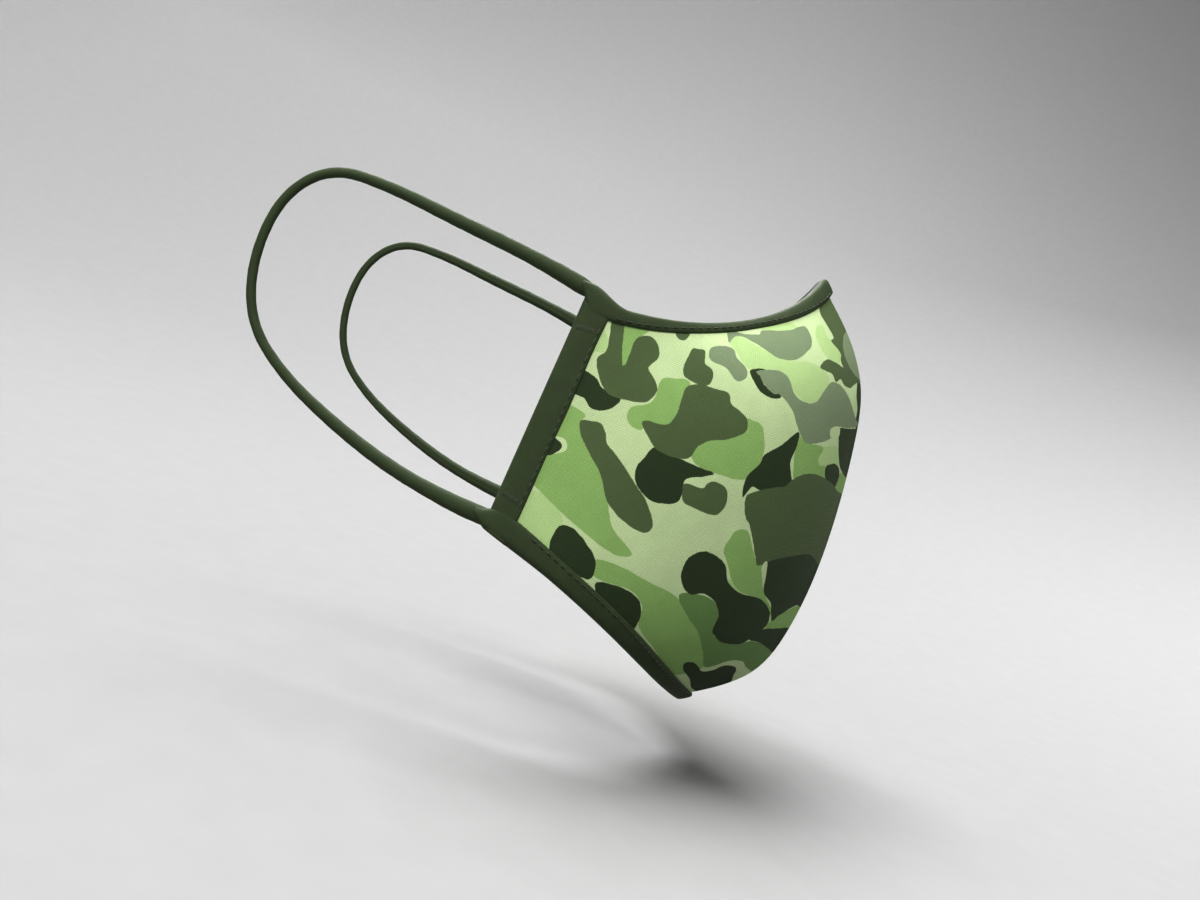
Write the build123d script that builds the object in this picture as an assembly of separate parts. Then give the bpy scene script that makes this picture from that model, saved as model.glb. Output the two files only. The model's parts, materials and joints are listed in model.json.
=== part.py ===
"""Fitted cloth face mask with two sewn ear loops, in millimetres.

Frame: +Z up along the line from the chin point to the nose point, -Y forward (the way the wearer looks),
+X towards the wearer's left. The origin is the middle of the face opening, half-way between the two side edges.
Everything is drawn on the +X half and mirrored, because the mask is symmetric about X = 0.
"""

import os
from math import prod, radians, tan

from build123d import *

# --- driving dimensions -------------------------------------------------------------------------------------

HALF_WIDTH = 60.0  # from the middle plane to each side edge

# The centre seam, from the chin point to the nose point, in the plane X = 0: (y, z)
SEAM = [
    (-73.4, -83.8),
    (-88.0, -75.4),
    (-98.2, -66.0),
    (-105.0, -48.4),
    (-108.4, -10.0),
    (-106.4, 24.0),
    (-102.8, 42.6),
    (-93.6, 58.8),
    (-76.8, 76.0),
]

# Bezier handles of the cross curves that run from the seam to the side edge, in even steps from bottom to top
SEAM_HANDLES = [(36.8, -56.4, -73.4), (54.0, -76.0, -31.0), (59.0, -78.0, 16.0), (31.0, -65.4, 48.8)]
SIDE_HANDLES = [
    (HALF_WIDTH, -41.0, -57.2),
    (HALF_WIDTH, -40.0, -22.0),
    (HALF_WIDTH, -38.0, 12.0),
    (HALF_WIDTH, -33.0, 32.4),
]
SIDE_BOTTOM = (HALF_WIDTH, 7.2, -40.4)
SIDE_TOP = (HALF_WIDTH, -0.4, 35.2)

# Fabric stack: depth of each layer's two faces below the mask's outer face
OUTER_LAYER = (0.0, 0.9)
FILTER_LAYER = (1.0, 2.2)
LINING_LAYER = (2.3, 3.0)
SEAM_TAPE_LAYER = (3.5, 4.0)

TAPE = 0.7  # thickness of the folded binding tape
BINDING_GAP = 0.3  # between the tape and the fabric it wraps
SIDE_BINDING_GAP = 0.35  # the same at the side edge, where the two move apart
TOP_WIDTHS = (5.2, 3.6)  # the tape that shows at the nose and at the side corner
BOTTOM_WIDTHS = (6.6, 7.0)
SIDE_WIDTH = 8.0
SEAM_TAPE_HALF_WIDTH = 5.0
SEAM_TAPE_SPAN = (0.07, 0.93)  # along the seam, between the two bindings
SIDE_SPAN = (0.115, 0.915)  # along the side edge, clear of both bindings by their ends

THREAD_WIDTH = 0.5
THREAD_HEIGHT = 0.3
THREAD_LIFT = 0.12  # between a thread and the cloth under it
TACK_LENGTH = 6.0
TACK_WIDTH = 1.6
TACK_INSET = 0.035  # of a tack's middle from the end of the side binding, as a share of the side edge
STITCH_MARGIN = 0.015  # of a row of stitches from the end of what it holds, as a share of its edge

# Ear loop: corners of its route in the plane X = LOOP_X, as (y, z), from the upper corner to the lower one
LOOP_X = 58.5
LOOP_RADIUS = 2.2
ELASTIC_RADIUS = 1.2
ELASTIC_GAP = 0.1
BEND_SHARE = 0.45  # of the shorter run that an arc takes up
LOOP_ROUTE = [
    (1.6, 38.9),
    (22.0, 43.0),
    (45.0, 46.0),
    (68.0, 49.4),
    (87.2, 49.6),
    (99.4, 36.6),
    (102.0, 15.0),
    (96.4, -4.0),
    (81.6, -16.4),
    (61.6, -26.0),
    (40.0, -33.6),
    (20.0, -37.4),
    (8.6, -38.4),
]

# --- the mask's surface -------------------------------------------------------------------------------------

seam_line = Spline(*[(0, y, z) for y, z in SEAM])
side_line = Line(SIDE_BOTTOM, SIDE_TOP)
STEP = 1e-3  # for slopes, as a share of an edge
GRID = 21  # points each way that define a fabric layer's face


def stations(count, start=0.0, end=1.0):
    return [start + (end - start) * i / (count - 1) for i in range(count)]


def through(points, v):
    """The smooth curve through evenly spaced points (Lagrange's), for v from 0 to 1."""
    places = stations(len(points))
    total = Vector(0, 0, 0)
    for place, point in zip(places, points):
        share = prod((v - other) / (place - other) for other in places if other != place)
        total += Vector(*point) * share
    return total


def outer_point(u, v):
    """The mask's outer face: u from the seam to the side edge, v from the bottom edge to the top edge."""
    seam, side = seam_line @ v, side_line @ v
    near, far = through(SEAM_HANDLES, v), through(SIDE_HANDLES, v)
    return seam * (1 - u) ** 3 + near * (3 * u * (1 - u) ** 2) + far * (3 * u * u * (1 - u)) + side * u**3


def along_u(u, v):
    """The face's direction of travel per unit of u."""
    seam, side = seam_line @ v, side_line @ v
    near, far = through(SEAM_HANDLES, v), through(SIDE_HANDLES, v)
    return ((near - seam) * (1 - u) ** 2 + (far - near) * (2 * u * (1 - u)) + (side - far) * u**2) * 3


def along_v(u, v):
    """The face's direction of travel per unit of v."""
    low, high = max(v - STEP, 0), min(v + STEP, 1)
    return (outer_point(u, high) - outer_point(u, low)) * (1 / (high - low))


def inward(u, v):
    """What one millimetre of depth adds, square to the face, and mitred in the plane X = 0 on the seam."""
    normal = along_v(u, v).cross(along_u(u, v)).normalized()
    if u > 0:
        return normal
    mitre = Vector(0, normal.Y, normal.Z).normalized()
    return mitre * (1 / mitre.dot(normal))


def cloth_point(u, v, depth, past=0.0):
    """A point at a depth below the outer face; past goes beyond the top or bottom edge, in millimetres."""
    point = outer_point(u, v) + inward(u, v) * depth
    if past:
        direction = along_v(u, v).normalized() * (1 if v > 0.5 else -1)
        point += direction * past
    return point


# --- solids from sections -----------------------------------------------------------------------------------


def sewn_solid(faces):
    solid = Solid(Shell(faces))
    return solid if solid.volume > 0 else Solid(Shell([-face for face in faces]))


def edge_through(points):
    return Line(*points) if len(points) == 2 else Spline(*points)


def skin_faces(sections):
    """The faces between the matching corners of a row of closed sections."""
    corners = range(len(sections[0]))
    rails = [edge_through([section[corner] for section in sections]) for corner in corners]
    return [Face.make_surface_from_curves(rails[corner - 1], rails[corner]) for corner in corners]


def cap(section):
    """Closes the end of a strip: a ruled face on four corners, a flat one on more."""
    if len(section) == 4:
        first, second, third, fourth = section
        return Face.make_surface_from_curves(Line(first, second), Line(fourth, third))
    return Face(Wire.make_polygon(section, close=True))


def strip_solid(sections):
    """One closed solid through a row of closed sections. End sections of more than four corners are flat."""
    return sewn_solid(skin_faces(sections) + [cap(sections[0]), cap(sections[-1])])


def mirrored(points):
    return [Vector(-p.X, p.Y, p.Z) for p in points]


def folded_pair(sections):
    """One solid across the seam: the sections start on the plane X = 0 and are repeated on the other half."""
    other = [mirrored(section) for section in sections]
    caps = [cap(sections[-1]), cap(other[-1])]
    return sewn_solid(skin_faces(sections) + skin_faces(other) + caps)


def sheet_solid(top, bottom):
    """A thin solid between two grids of points."""
    faces = [Face.make_surface_from_array_of_points(grid, tol=0.01, max_deg=3) for grid in (top, bottom)]
    sides = []
    for edge in faces[0].edges():
        partner = min(faces[1].edges(), key=lambda other: (other.center() - edge.center()).length)
        sides.append(Face.make_surface_from_curves(edge, partner))
    return sewn_solid(faces + sides)


# --- fabric layers ------------------------------------------------------------------------------------------


def fabric_layer(depths):
    grids = [[[cloth_point(u, v, depth) for v in stations(GRID)] for u in stations(GRID)] for depth in depths]
    return sheet_solid(*grids)


def seam_tape_corners(v):
    """The tape's four corners on one half: near and far face in the fold, then near and far face at its edge."""
    reach = SEAM_TAPE_HALF_WIDTH / along_u(0, v).length
    return [cloth_point(u, v, depth) for u in (0, reach) for depth in SEAM_TAPE_LAYER]


def seam_tape():
    """A tape that covers the seam allowance on the face side, folded along the seam."""
    sections = []
    for v in stations(11, *SEAM_TAPE_SPAN):
        fold_near, fold_far, near, far = seam_tape_corners(v)
        other_near, other_far = mirrored([near, far])
        sections.append([near, fold_near, other_near, other_far, fold_far, far])
    faces = skin_faces(sections)
    for near, fold_near, other_near, other_far, fold_far, far in (sections[0], sections[-1]):
        faces += [cap([near, fold_near, fold_far, far]), cap([other_near, fold_near, fold_far, other_far])]
    return sewn_solid(faces)


# --- bindings -----------------------------------------------------------------------------------------------


def fold_profile(width, gap):
    """The tape's folded section as (in from the edge, depth) pairs, with a negative first value past the edge."""
    out, back = -gap - TAPE, LINING_LAYER[1] + gap + TAPE
    middle = LINING_LAYER[1] / 2
    outside = [(width, out), (width / 2, out), (0, out), (-gap - 0.8 * TAPE, 0), (-gap - 1.2 * TAPE, middle)]
    outside += [(-gap - 0.8 * TAPE, LINING_LAYER[1]), (0, back), (width / 2, back), (width, back)]
    inside = [(width, back - TAPE), (width / 2, back - TAPE), (0.1, back - TAPE)]
    inside += [(-gap, LINING_LAYER[1] - 0.3), (-gap, 0.3), (0.1, -gap), (width / 2, -gap), (width, -gap)]
    return outside + inside


def edge_section(u, edge, profile):
    """The profile placed across the top (edge = 1) or bottom (edge = 0) edge at u."""
    per_mm = 1 / along_v(u, edge).length
    sign = 1 if edge else -1
    points = []
    for inset, depth in profile:
        v = edge - sign * max(inset, 0) * per_mm
        points.append(cloth_point(u, v, depth, past=max(-inset, 0)))
    return points


def edge_binding(edge, widths):
    sections = []
    for u in stations(13):
        width = widths[0] + (widths[1] - widths[0]) * u
        sections.append(edge_section(u, edge, fold_profile(width, BINDING_GAP)))
    return folded_pair(sections)


def side_section(v, profile):
    """The profile placed across the side edge at v."""
    per_mm = 1 / along_u(1, v).length
    direction = along_u(1, v).normalized()
    points = []
    for inset, depth in profile:
        u = 1 - max(inset, 0) * per_mm
        points.append(cloth_point(u, v, depth) + direction * max(-inset, 0))
    return points


def flat_side_section(v, profile):
    """The same, pressed flat onto the level plane through the side edge, so that it can close an end."""
    section = side_section(v, profile)
    level = outer_point(1, v).Z
    return [Vector(p.X, p.Y, level) for p in section]


def side_binding():
    profile = fold_profile(SIDE_WIDTH, SIDE_BINDING_GAP)
    return strip_solid([flat_side_section(v, profile) for v in stations(9, *SIDE_SPAN)])


# --- threads ------------------------------------------------------------------------------------------------


def thread_profile(inset, face):
    """A thread's square section, lying on the face at a depth, on the side away from the fabric."""
    low, high = face - THREAD_LIFT, face - THREAD_LIFT - THREAD_HEIGHT
    near, far = inset - THREAD_WIDTH / 2, inset + THREAD_WIDTH / 2
    return [(near, low), (far, low), (far, high), (near, high)]


def edge_stitching(edge, widths):
    """The row of stitches near the inner edge of the top or bottom binding."""
    sections = []
    for u in stations(15):
        width = widths[0] + (widths[1] - widths[0]) * u
        profile = thread_profile(width - 1.2, -BINDING_GAP - TAPE)
        sections.append(edge_section(u, edge, profile))
    return folded_pair(sections)


def side_stitching():
    profile = thread_profile(SIDE_WIDTH - 1.2, -SIDE_BINDING_GAP - TAPE)
    low, high = SIDE_SPAN
    span = stations(9, low + STITCH_MARGIN, high - STITCH_MARGIN)
    return strip_solid([flat_side_section(v, profile) for v in span])


def bar_tack(v):
    """A dense block of thread across the side binding, where an end of the ear loop is sewn in."""
    face = -SIDE_BINDING_GAP - TAPE - THREAD_LIFT
    middle = SIDE_WIDTH / 2 - 1.0
    near, far = middle - TACK_LENGTH / 2, middle + TACK_LENGTH / 2
    profile = [(near, face), (middle, face), (far, face)]
    profile += [(far, face - THREAD_HEIGHT), (middle, face - THREAD_HEIGHT), (near, face - THREAD_HEIGHT)]
    half = TACK_WIDTH / 2 / along_v(1, v).length
    return strip_solid([flat_side_section(w, profile) for w in (v - half, v, v + half)])


def seam_stitching():
    """Two rows of stitches that hold the seam tape, one each side of the seam."""
    low, high = SEAM_TAPE_SPAN
    sections = []
    for v in stations(15, low + STITCH_MARGIN, high - STITCH_MARGIN):
        fold_near, fold_far, near, far = seam_tape_corners(v)
        across = (far - fold_far).normalized()
        lift = along_v(0, v).cross(across).normalized()
        middle = (fold_far + far) * 0.5 + lift * THREAD_LIFT
        inner, outer = middle - across * (THREAD_WIDTH / 2), middle + across * (THREAD_WIDTH / 2)
        sections.append([inner, outer, outer + lift * THREAD_HEIGHT, inner + lift * THREAD_HEIGHT])
    return [strip_solid(sections), strip_solid([mirrored(section) for section in sections])]


# --- ear loops ----------------------------------------------------------------------------------------------


def bend_radii(route):
    """As large as the two runs at each corner allow."""
    radii = []
    for before, corner, after in zip(route, route[1:], route[2:]):
        first, second = corner - before, after - corner
        turn = radians(first.get_angle(second))
        radii.append(BEND_SHARE * min(first.length, second.length) / tan(turn / 2))
    return radii


def loop_path():
    route = [Vector(LOOP_X, y, z) for y, z in LOOP_ROUTE]
    radii = bend_radii(route)
    print("ear loop bend radii:", [round(radius, 1) for radius in radii])
    return FilletPolyline(*route, radius=radii)


def swept(path, outer, inner=0.0):
    section = Plane(origin=path @ 0, z_dir=path % 0) * Circle(outer)
    if inner:
        section -= Plane(origin=path @ 0, z_dir=path % 0) * Circle(inner)
    return sweep(section, path=path)


# --- the parts ----------------------------------------------------------------------------------------------


def both_sides(name, shape):
    """The same piece on the wearer's left (+X) and right (-X)."""
    return {f"{name}_left": shape, f"{name}_right": mirror(shape, about=Plane.YZ)}


def all_parts():
    path = loop_path()
    print("ear loop length:", round(path.length, 1))
    low, high = SIDE_SPAN
    parts = {}
    parts |= both_sides("outer_panel", fabric_layer(OUTER_LAYER))
    parts |= both_sides("filter_layer", fabric_layer(FILTER_LAYER))
    parts |= both_sides("lining_panel", fabric_layer(LINING_LAYER))
    parts["centre_seam_tape"] = seam_tape()
    parts["centre_seam_stitching"] = Compound(children=seam_stitching())
    parts["top_binding"] = edge_binding(1, TOP_WIDTHS)
    parts["bottom_binding"] = edge_binding(0, BOTTOM_WIDTHS)
    parts["top_binding_stitching"] = edge_stitching(1, TOP_WIDTHS)
    parts["bottom_binding_stitching"] = edge_stitching(0, BOTTOM_WIDTHS)
    parts |= both_sides("side_binding", side_binding())
    parts |= both_sides("side_stitching", side_stitching())
    parts |= both_sides("upper_bar_tack", bar_tack(high - TACK_INSET))
    parts |= both_sides("lower_bar_tack", bar_tack(low + TACK_INSET))
    parts |= both_sides("ear_loop_cover", swept(path, LOOP_RADIUS, ELASTIC_RADIUS + ELASTIC_GAP))
    parts |= both_sides("ear_loop_elastic", swept(path, ELASTIC_RADIUS))
    return parts


if __name__ == "__main__":
    os.makedirs("parts", exist_ok=True)
    for name, shape in all_parts().items():
        export_step(shape, f"parts/{name}.step")
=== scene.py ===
"""Fitted cloth face mask: camouflage-printed panels, bound edges and two sewn ear loops.

The frame is the model's own: +Z up along the line from the chin point to the nose point, -Y forward (the way the
wearer looks), +X towards the wearer's left. Lengths are in millimetres until a mesh is made, and in metres after.
"""

import json
import math

import bmesh
import bpy
import numpy as np
from mathutils import Matrix, Vector

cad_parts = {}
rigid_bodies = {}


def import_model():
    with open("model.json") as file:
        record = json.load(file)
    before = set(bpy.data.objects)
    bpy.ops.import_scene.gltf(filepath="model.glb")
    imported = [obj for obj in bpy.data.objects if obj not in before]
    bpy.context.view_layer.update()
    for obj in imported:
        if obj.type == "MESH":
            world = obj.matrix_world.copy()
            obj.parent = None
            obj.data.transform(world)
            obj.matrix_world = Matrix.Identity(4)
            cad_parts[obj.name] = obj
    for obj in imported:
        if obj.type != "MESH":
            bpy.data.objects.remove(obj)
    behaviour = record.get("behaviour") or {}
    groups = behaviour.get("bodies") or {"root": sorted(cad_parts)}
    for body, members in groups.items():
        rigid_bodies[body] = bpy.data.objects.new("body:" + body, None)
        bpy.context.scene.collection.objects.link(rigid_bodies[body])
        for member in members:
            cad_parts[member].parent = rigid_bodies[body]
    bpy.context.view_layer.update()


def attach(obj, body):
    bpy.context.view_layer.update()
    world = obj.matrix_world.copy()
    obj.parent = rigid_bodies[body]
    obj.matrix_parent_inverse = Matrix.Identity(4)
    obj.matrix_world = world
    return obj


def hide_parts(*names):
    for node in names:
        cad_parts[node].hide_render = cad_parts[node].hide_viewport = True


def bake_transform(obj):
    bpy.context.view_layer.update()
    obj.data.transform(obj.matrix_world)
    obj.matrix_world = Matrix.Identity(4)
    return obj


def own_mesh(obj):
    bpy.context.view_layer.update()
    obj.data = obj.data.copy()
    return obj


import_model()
scene = bpy.context.scene
MM = 0.001
SIDES = ((1, "left"), (-1, "right"))  # the sign of X and the name of each half

# --- camera ---

ROLL = math.radians(18.3)
RIGHT = Vector((0, -math.cos(ROLL), math.sin(ROLL)))
UP = Vector((0, math.sin(ROLL), math.cos(ROLL)))
BACK = Vector((-1, 0, 0))
CAMERA_PLACE = (-0.385, -0.01871, -0.00758)  # metres

camera = bpy.data.objects.new("camera", bpy.data.cameras.new("camera"))
scene.collection.objects.link(camera)
camera.matrix_world = Matrix.Translation(CAMERA_PLACE) @ Matrix((RIGHT, UP, BACK)).transposed().to_4x4()
camera.data.sensor_width = 36
camera.data.lens = 31.69
camera.data.clip_start = 0.01
scene.camera = camera

# --- ear loop route: control points in the plane of each loop, from the upper corner to the lower one ---

LOOP_X = 58.5
LOOP_ROUTE = [
    (-4.4, 36.9), (1.6, 38.9), (22.0, 43.0), (45.0, 46.0), (68.0, 49.4), (87.2, 49.6), (99.4, 36.6),
    (102.0, 15.0), (96.4, -4.0), (81.6, -16.4), (61.6, -26.0), (40.0, -33.6), (20.0, -37.4), (8.6, -38.4),
    (2.6, -39.0),
]


def smooth_route(route):
    """Points read from the NURBS spline that has the route's points as its control points."""
    curve = bpy.data.curves.new("route", "CURVE")
    curve.dimensions = "3D"
    curve.resolution_u = 16
    spline = curve.splines.new("NURBS")
    spline.points.add(len(route) - 1)
    for point, (y, z) in zip(spline.points, route):
        point.co = (LOOP_X, y, z, 1)
    spline.order_u = 3
    spline.use_endpoint_u = True
    holder = bpy.data.objects.new("route", curve)
    scene.collection.objects.link(holder)
    mesh = bpy.data.meshes.new_from_object(holder)
    points = np.array([vertex.co for vertex in mesh.vertices])
    bpy.data.objects.remove(holder)
    bpy.data.meshes.remove(mesh)
    bpy.data.curves.remove(curve)
    return points


# --- small tools ---


def length_of(vectors):
    return np.linalg.norm(vectors, axis=-1)


def unit(vectors):
    return vectors / length_of(vectors)[..., None]


def step(low, high, value):
    """Rises smoothly from 0 at low to 1 at high."""
    share = np.clip((np.asarray(value, float) - low) / (high - low), 0, 1)
    return share * share * (3 - 2 * share)


def travelled(points, axis=0):
    """How far each point is along its line from the line's first point."""
    gaps = length_of(np.diff(points, axis=axis))
    return np.concatenate([np.zeros_like(np.take(gaps, [0], axis=axis)), np.cumsum(gaps, axis=axis)], axis=axis)


def evenly(line, count):
    """Evenly spaced points along a line of points."""
    reach = travelled(line)
    even = np.linspace(0, reach[-1], count)
    return np.stack([np.interp(even, reach, line[:, k]) for k in range(line.shape[1])], axis=1)


def smooth_curve(points, count=400):
    """Evenly spaced points along the natural cubic spline through the given ones."""
    points = np.array(points, float)
    knots = travelled(points)
    gaps = np.diff(knots)
    size = len(points)
    system, right = np.eye(size), np.zeros_like(points)
    for i in range(1, size - 1):
        system[i, i - 1 : i + 2] = gaps[i - 1], 2 * (gaps[i - 1] + gaps[i]), gaps[i]
        right[i] = 6 * ((points[i + 1] - points[i]) / gaps[i] - (points[i] - points[i - 1]) / gaps[i - 1])
    bend = np.linalg.solve(system, right)
    at = np.linspace(0, knots[-1], 4 * count)
    i = np.clip(np.searchsorted(knots, at, side="right") - 1, 0, size - 2)
    h, a, b = gaps[i][:, None], (knots[i + 1] - at)[:, None], (at - knots[i])[:, None]
    line = (bend[i] * a**3 + bend[i + 1] * b**3) / (6 * h)
    line += (points[i] / h - bend[i] * h / 6) * a + (points[i + 1] / h - bend[i + 1] * h / 6) * b
    return evenly(line, count)


def closed_curve(points, per_run=3):
    """A smooth closed ring through its points. They may be arrays, one ring for each place along them."""
    points = np.asarray(points, float)
    before, after, beyond = np.roll(points, 1, 0), np.roll(points, -1, 0), np.roll(points, -2, 0)
    rings = []
    for k in range(per_run):
        t = k / per_run
        rings.append(
            0.5
            * (
                2 * points
                + (after - before) * t
                + (2 * before - 5 * points + 4 * after - beyond) * t**2
                + (3 * points - before - 3 * after + beyond) * t**3
            )
        )
    return np.stack(rings, axis=1).reshape((-1,) + points.shape[1:])


# --- the mask's surface: u from the seam (0) to the side edge (1), v from the bottom edge (0) to the top (1) ---

HALF_WIDTH = 60.0
SEAM = smooth_curve(
    [
        (0, -73.4, -83.8),
        (0, -88.0, -75.4),
        (0, -98.2, -66.0),
        (0, -105.0, -48.4),
        (0, -108.4, -10.0),
        (0, -106.4, 24.0),
        (0, -102.8, 42.6),
        (0, -93.6, 58.8),
        (0, -76.8, 76.0),
    ]
)
SEAM_HANDLES = [(36.8, -56.4, -73.4), (54.0, -76.0, -31.0), (59.0, -78.0, 16.0), (31.0, -65.4, 48.8)]
SIDE_HANDLES = [
    (HALF_WIDTH, -41.0, -57.2),
    (HALF_WIDTH, -40.0, -22.0),
    (HALF_WIDTH, -38.0, 12.0),
    (HALF_WIDTH, -33.0, 32.4),
]
SIDE_BOTTOM = np.array([HALF_WIDTH, 7.2, -40.4])
SIDE_TOP = np.array([HALF_WIDTH, -0.4, 35.2])
CLOTH = 3.0  # thickness of the whole stack of fabric
SMALL = 1e-3  # the step in v over which a slope is taken


def along(line, v):
    places = np.linspace(0, 1, len(line))
    return np.stack([np.interp(v, places, line[:, k]) for k in range(3)], axis=-1)


def through(points, v):
    """The smooth curve through evenly spaced points (Lagrange's)."""
    places = np.linspace(0, 1, len(points))
    total = 0
    for i, point in enumerate(points):
        share = np.prod([(v - other) / (places[i] - other) for other in np.delete(places, i)], axis=0)
        total = total + share[..., None] * np.array(point)
    return total


def handles(u, v):
    u, v = np.broadcast_arrays(np.asarray(u, float), np.asarray(v, float))
    side = SIDE_BOTTOM * (1 - v[..., None]) + SIDE_TOP * v[..., None]
    return u[..., None], along(SEAM, v), through(SEAM_HANDLES, v), through(SIDE_HANDLES, v), side


def outer_face(u, v):
    u, seam, near, far, side = handles(u, v)
    return seam * (1 - u) ** 3 + near * 3 * u * (1 - u) ** 2 + far * 3 * u * u * (1 - u) + side * u**3


def along_u(u, v):
    u, seam, near, far, side = handles(u, v)
    return 3 * ((near - seam) * (1 - u) ** 2 + (far - near) * 2 * u * (1 - u) + (side - far) * u**2)


def along_v(u, v):
    low, high = np.maximum(v - SMALL, 0), np.minimum(v + SMALL, 1)
    return (outer_face(u, high) - outer_face(u, low)) / (high - low)[..., None]


def inward(u, v):
    return unit(np.cross(along_v(u, v), along_u(u, v)))


def cloth_point(u, v, depth):
    return outer_face(u, v) + inward(u, v) * np.asarray(depth, float)[..., None]


def at_seam(point_at, count):
    """The u at which each of count lines of points meets the plane X = 0."""
    low, high = np.full(count, -0.1), np.full(count, 0.2)
    for _ in range(24):
        middle = (low + high) / 2
        inside = point_at(middle)[..., 0] < 0
        low, high = np.where(inside, middle, low), np.where(inside, high, middle)
    return (low + high) / 2


# --- meshes ---


class Form:
    """A mesh in the making: points, faces, and the place on the cloth of each face's corners."""

    def __init__(self):
        self.points, self.faces, self.places, self.count = [], [], [], 0

    def add(self, points):
        """Adds points, and gives their numbers in the same arrangement."""
        self.points.append(points.reshape(-1, 3))
        numbers = np.arange(self.count, self.count + points[..., 0].size).reshape(points.shape[:-1])
        self.count += numbers.size
        return numbers

    def skin(self, numbers, places):
        """Faces over a grid of point numbers."""
        for grid, store, width in ((numbers, self.faces, ()), (places, self.places, (2,))):
            corners = np.stack([grid[:-1, :-1], grid[1:, :-1], grid[1:, 1:], grid[:-1, 1:]], axis=2)
            store.extend(corners.reshape((-1, 4) + width).tolist())

    def ring_end(self, ring, places, centre):
        """Closes a ring with a fan about a centre."""
        middle = int(self.add(np.asarray(centre, float)[None])[0])
        centre_place = places.mean(axis=0).tolist()
        for i in range(len(ring)):
            j = (i + 1) % len(ring)
            self.faces.append([int(ring[i]), int(ring[j]), middle])
            self.places.append([places[i].tolist(), places[j].tolist(), centre_place])

    def tube(self, rings, start=0.0):
        """A closed tube through rings of points, with its ends filled. Start is its first ring's place lengthwise."""
        numbers = self.add(rings)
        wrapped = np.concatenate([numbers, numbers[:, :1]], axis=1)
        closed = np.concatenate([rings, rings[:, :1]], axis=1)
        lengths = start + travelled(rings.mean(axis=1))
        across = travelled(closed, axis=1)
        places = np.stack([np.broadcast_to(lengths[:, None], across.shape), across], axis=-1)
        self.skin(wrapped, places)
        for end in (0, -1):
            self.ring_end(numbers[end], places[end, :-1], rings[end].mean(axis=0))

    def piece(self, name, material, slot, body, side=1, values=None):
        """The mesh as an object, mirrored where side is -1. Values are numbers for its points, by name."""
        points = np.concatenate(self.points) * (side, 1, 1) * MM
        mesh = bpy.data.meshes.new(name)
        mesh.from_pydata(points.tolist(), [], self.faces)
        uv = mesh.uv_layers.new(name="cloth")
        uv.data.foreach_set("uv", [number for face in self.places for place in face for number in place])
        for key, numbers in (values or {}).items():
            mesh.attributes.new(key, "FLOAT", "POINT").data.foreach_set("value", np.asarray(numbers, np.float32))
        work = bmesh.new()
        work.from_mesh(mesh)
        bmesh.ops.recalc_face_normals(work, faces=work.faces)
        work.to_mesh(mesh)
        work.free()
        mesh.polygons.foreach_set("use_smooth", [True] * len(mesh.polygons))
        mesh.materials.append(material)
        obj = bpy.data.objects.new(name, mesh)
        scene.collection.objects.link(obj)
        if body:
            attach(obj, body)
        return obj


# --- materials ---


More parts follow.
